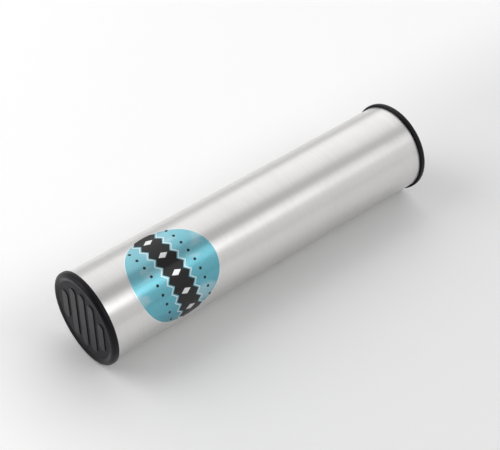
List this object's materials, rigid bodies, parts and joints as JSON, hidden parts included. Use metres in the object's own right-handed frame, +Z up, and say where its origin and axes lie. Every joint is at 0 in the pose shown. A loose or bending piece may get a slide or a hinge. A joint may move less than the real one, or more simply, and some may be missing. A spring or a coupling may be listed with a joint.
{
  "type": "tube shaker",
  "caption": "Hand shaker: brushed aluminium tube closed by black push-in end caps, with an oval foil label and loose steel shot inside.",
  "frame": {"origin": "on the surface that the shaker lies on, under the middle of the tube", "axes": "+X along the tube from the labelled front end to the rear end, +Z up, +Y away from the labelled side"},
  "size_m": [0.2174, 0.0526, 0.0526],
  "materials": {
    "tube_aluminium": "satin brushed",
    "cap_black": "fine moulded",
    "label_foil": "metallised film",
    "shot_steel": "rolled"
  },
  "bodies": {
    "tube": {"tube": "tube_aluminium", "label": "label_foil"},
    "front_cap": {"front_cap": "cap_black"},
    "rear_cap": {"rear_cap": "cap_black"},
    "shot_row_05": {"shot_row_05": "shot_steel"},
    "shot_row_01": {"shot_row_01": "shot_steel"},
    "shot_row_02": {"shot_row_02": "shot_steel"},
    "shot_row_03": {"shot_row_03": "shot_steel"},
    "shot_row_04": {"shot_row_04": "shot_steel"},
    "shot_row_06": {"shot_row_06": "shot_steel"},
    "shot_row_07": {"shot_row_07": "shot_steel"},
    "shot_row_08": {"shot_row_08": "shot_steel"},
    "shot_row_09": {"shot_row_09": "shot_steel"},
    "shot_row_10": {"shot_row_10": "shot_steel"},
    "shot_row_11": {"shot_row_11": "shot_steel"},
    "shot_row_12": {"shot_row_12": "shot_steel"},
    "shot_row_13": {"shot_row_13": "shot_steel"},
    "shot_row_14": {"shot_row_14": "shot_steel"},
    "shot_row_15": {"shot_row_15": "shot_steel"},
    "shot_row_16": {"shot_row_16": "shot_steel"},
    "shot_row_17": {"shot_row_17": "shot_steel"},
    "shot_row_18": {"shot_row_18": "shot_steel"}
  },
  "joints": [
    {"name": "front_cap_pull", "type": "slide", "parent": "tube", "child": "front_cap", "axis": [-1, 0, 0], "range_m": [0, 0.03]},
    {"name": "rear_cap_pull", "type": "slide", "parent": "tube", "child": "rear_cap", "axis": [1, 0, 0], "range_m": [0, 0.03]},
    {"name": "shot_swirl", "type": "hinge", "parent": "tube", "child": "shot_row_05", "pos_m": [0, 0, 0.0263], "axis": [1, 0, 0], "continuous": true},
    {"name": "shot_row_01_run", "type": "slide", "parent": "shot_row_05", "child": "shot_row_01", "axis": [1, 0, 0], "range_m": [-0.0615, 0.0615]},
    {"name": "shot_row_02_run", "type": "slide", "parent": "shot_row_05", "child": "shot_row_02", "axis": [1, 0, 0], "range_m": [-0.0615, 0.0615]},
    {"name": "shot_row_03_run", "type": "slide", "parent": "shot_row_05", "child": "shot_row_03", "axis": [1, 0, 0], "range_m": [-0.0615, 0.0615]},
    {"name": "shot_row_04_run", "type": "slide", "parent": "shot_row_05", "child": "shot_row_04", "axis": [1, 0, 0], "range_m": [-0.0615, 0.0615]},
    {"name": "shot_row_06_run", "type": "slide", "parent": "shot_row_05", "child": "shot_row_06", "axis": [1, 0, 0], "range_m": [-0.0615, 0.0615]},
    {"name": "shot_row_07_run", "type": "slide", "parent": "shot_row_05", "child": "shot_row_07", "axis": [1, 0, 0], "range_m": [-0.0615, 0.0615]},
    {"name": "shot_row_08_run", "type": "slide", "parent": "shot_row_05", "child": "shot_row_08", "axis": [1, 0, 0], "range_m": [-0.0615, 0.0615]},
    {"name": "shot_row_09_run", "type": "slide", "parent": "shot_row_05", "child": "shot_row_09", "axis": [1, 0, 0], "range_m": [-0.0615, 0.0615]},
    {"name": "shot_row_10_run", "type": "slide", "parent": "shot_row_05", "child": "shot_row_10", "axis": [1, 0, 0], "range_m": [-0.0785, 0.0785]},
    {"name": "shot_row_11_run", "type": "slide", "parent": "shot_row_05", "child": "shot_row_11", "axis": [1, 0, 0], "range_m": [-0.0785, 0.0785]},
    {"name": "shot_row_12_run", "type": "slide", "parent": "shot_row_05", "child": "shot_row_12", "axis": [1, 0, 0], "range_m": [-0.0785, 0.0785]},
    {"name": "shot_row_13_run", "type": "slide", "parent": "shot_row_05", "child": "shot_row_13", "axis": [1, 0, 0], "range_m": [-0.0785, 0.0785]},
    {"name": "shot_row_14_run", "type": "slide", "parent": "shot_row_05", "child": "shot_row_14", "axis": [1, 0, 0], "range_m": [-0.0785, 0.0785]},
    {"name": "shot_row_15_run", "type": "slide", "parent": "shot_row_05", "child": "shot_row_15", "axis": [1, 0, 0], "range_m": [-0.0785, 0.0785]},
    {"name": "shot_row_16_run", "type": "slide", "parent": "shot_row_05", "child": "shot_row_16", "axis": [1, 0, 0], "range_m": [-0.0835, 0.0835]},
    {"name": "shot_row_17_run", "type": "slide", "parent": "shot_row_05", "child": "shot_row_17", "axis": [1, 0, 0], "range_m": [-0.0835, 0.0835]},
    {"name": "shot_row_18_run", "type": "slide", "parent": "shot_row_05", "child": "shot_row_18", "axis": [1, 0, 0], "range_m": [-0.0835, 0.0835]}
  ]
}
